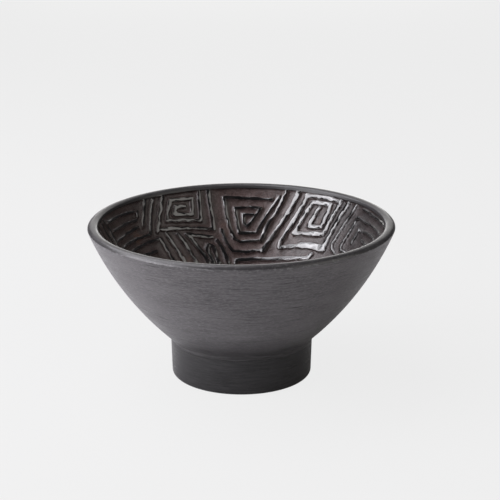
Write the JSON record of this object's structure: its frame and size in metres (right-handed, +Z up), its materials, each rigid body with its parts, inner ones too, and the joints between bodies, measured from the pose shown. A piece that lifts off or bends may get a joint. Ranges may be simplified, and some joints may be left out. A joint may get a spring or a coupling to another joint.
{
  "type": "carved footed bowl",
  "caption": "Round wooden bowl with flared walls, raised angular spirals and stripes carved inside, and a turned foot glued on by a tenon, for fruit, small things or display.",
  "frame": {"origin": "centre of the foot's underside, on the turning axis", "axes": "+Z up along the turning axis, from the foot to the rim; the bowl is round, so X and Y are any two directions across it, with -Y towards the viewer of its front"},
  "size_m": [0.2, 0.2, 0.104],
  "materials": {
    "bowl_wood": "ebonised: satin graphite-black stain outside, glossier dark reddish-brown lacquer on the carved inside",
    "foot_wood": null
  },
  "bodies": {
    "root": {"bowl": "bowl_wood", "foot": "foot_wood"}
  },
  "joints": []
}
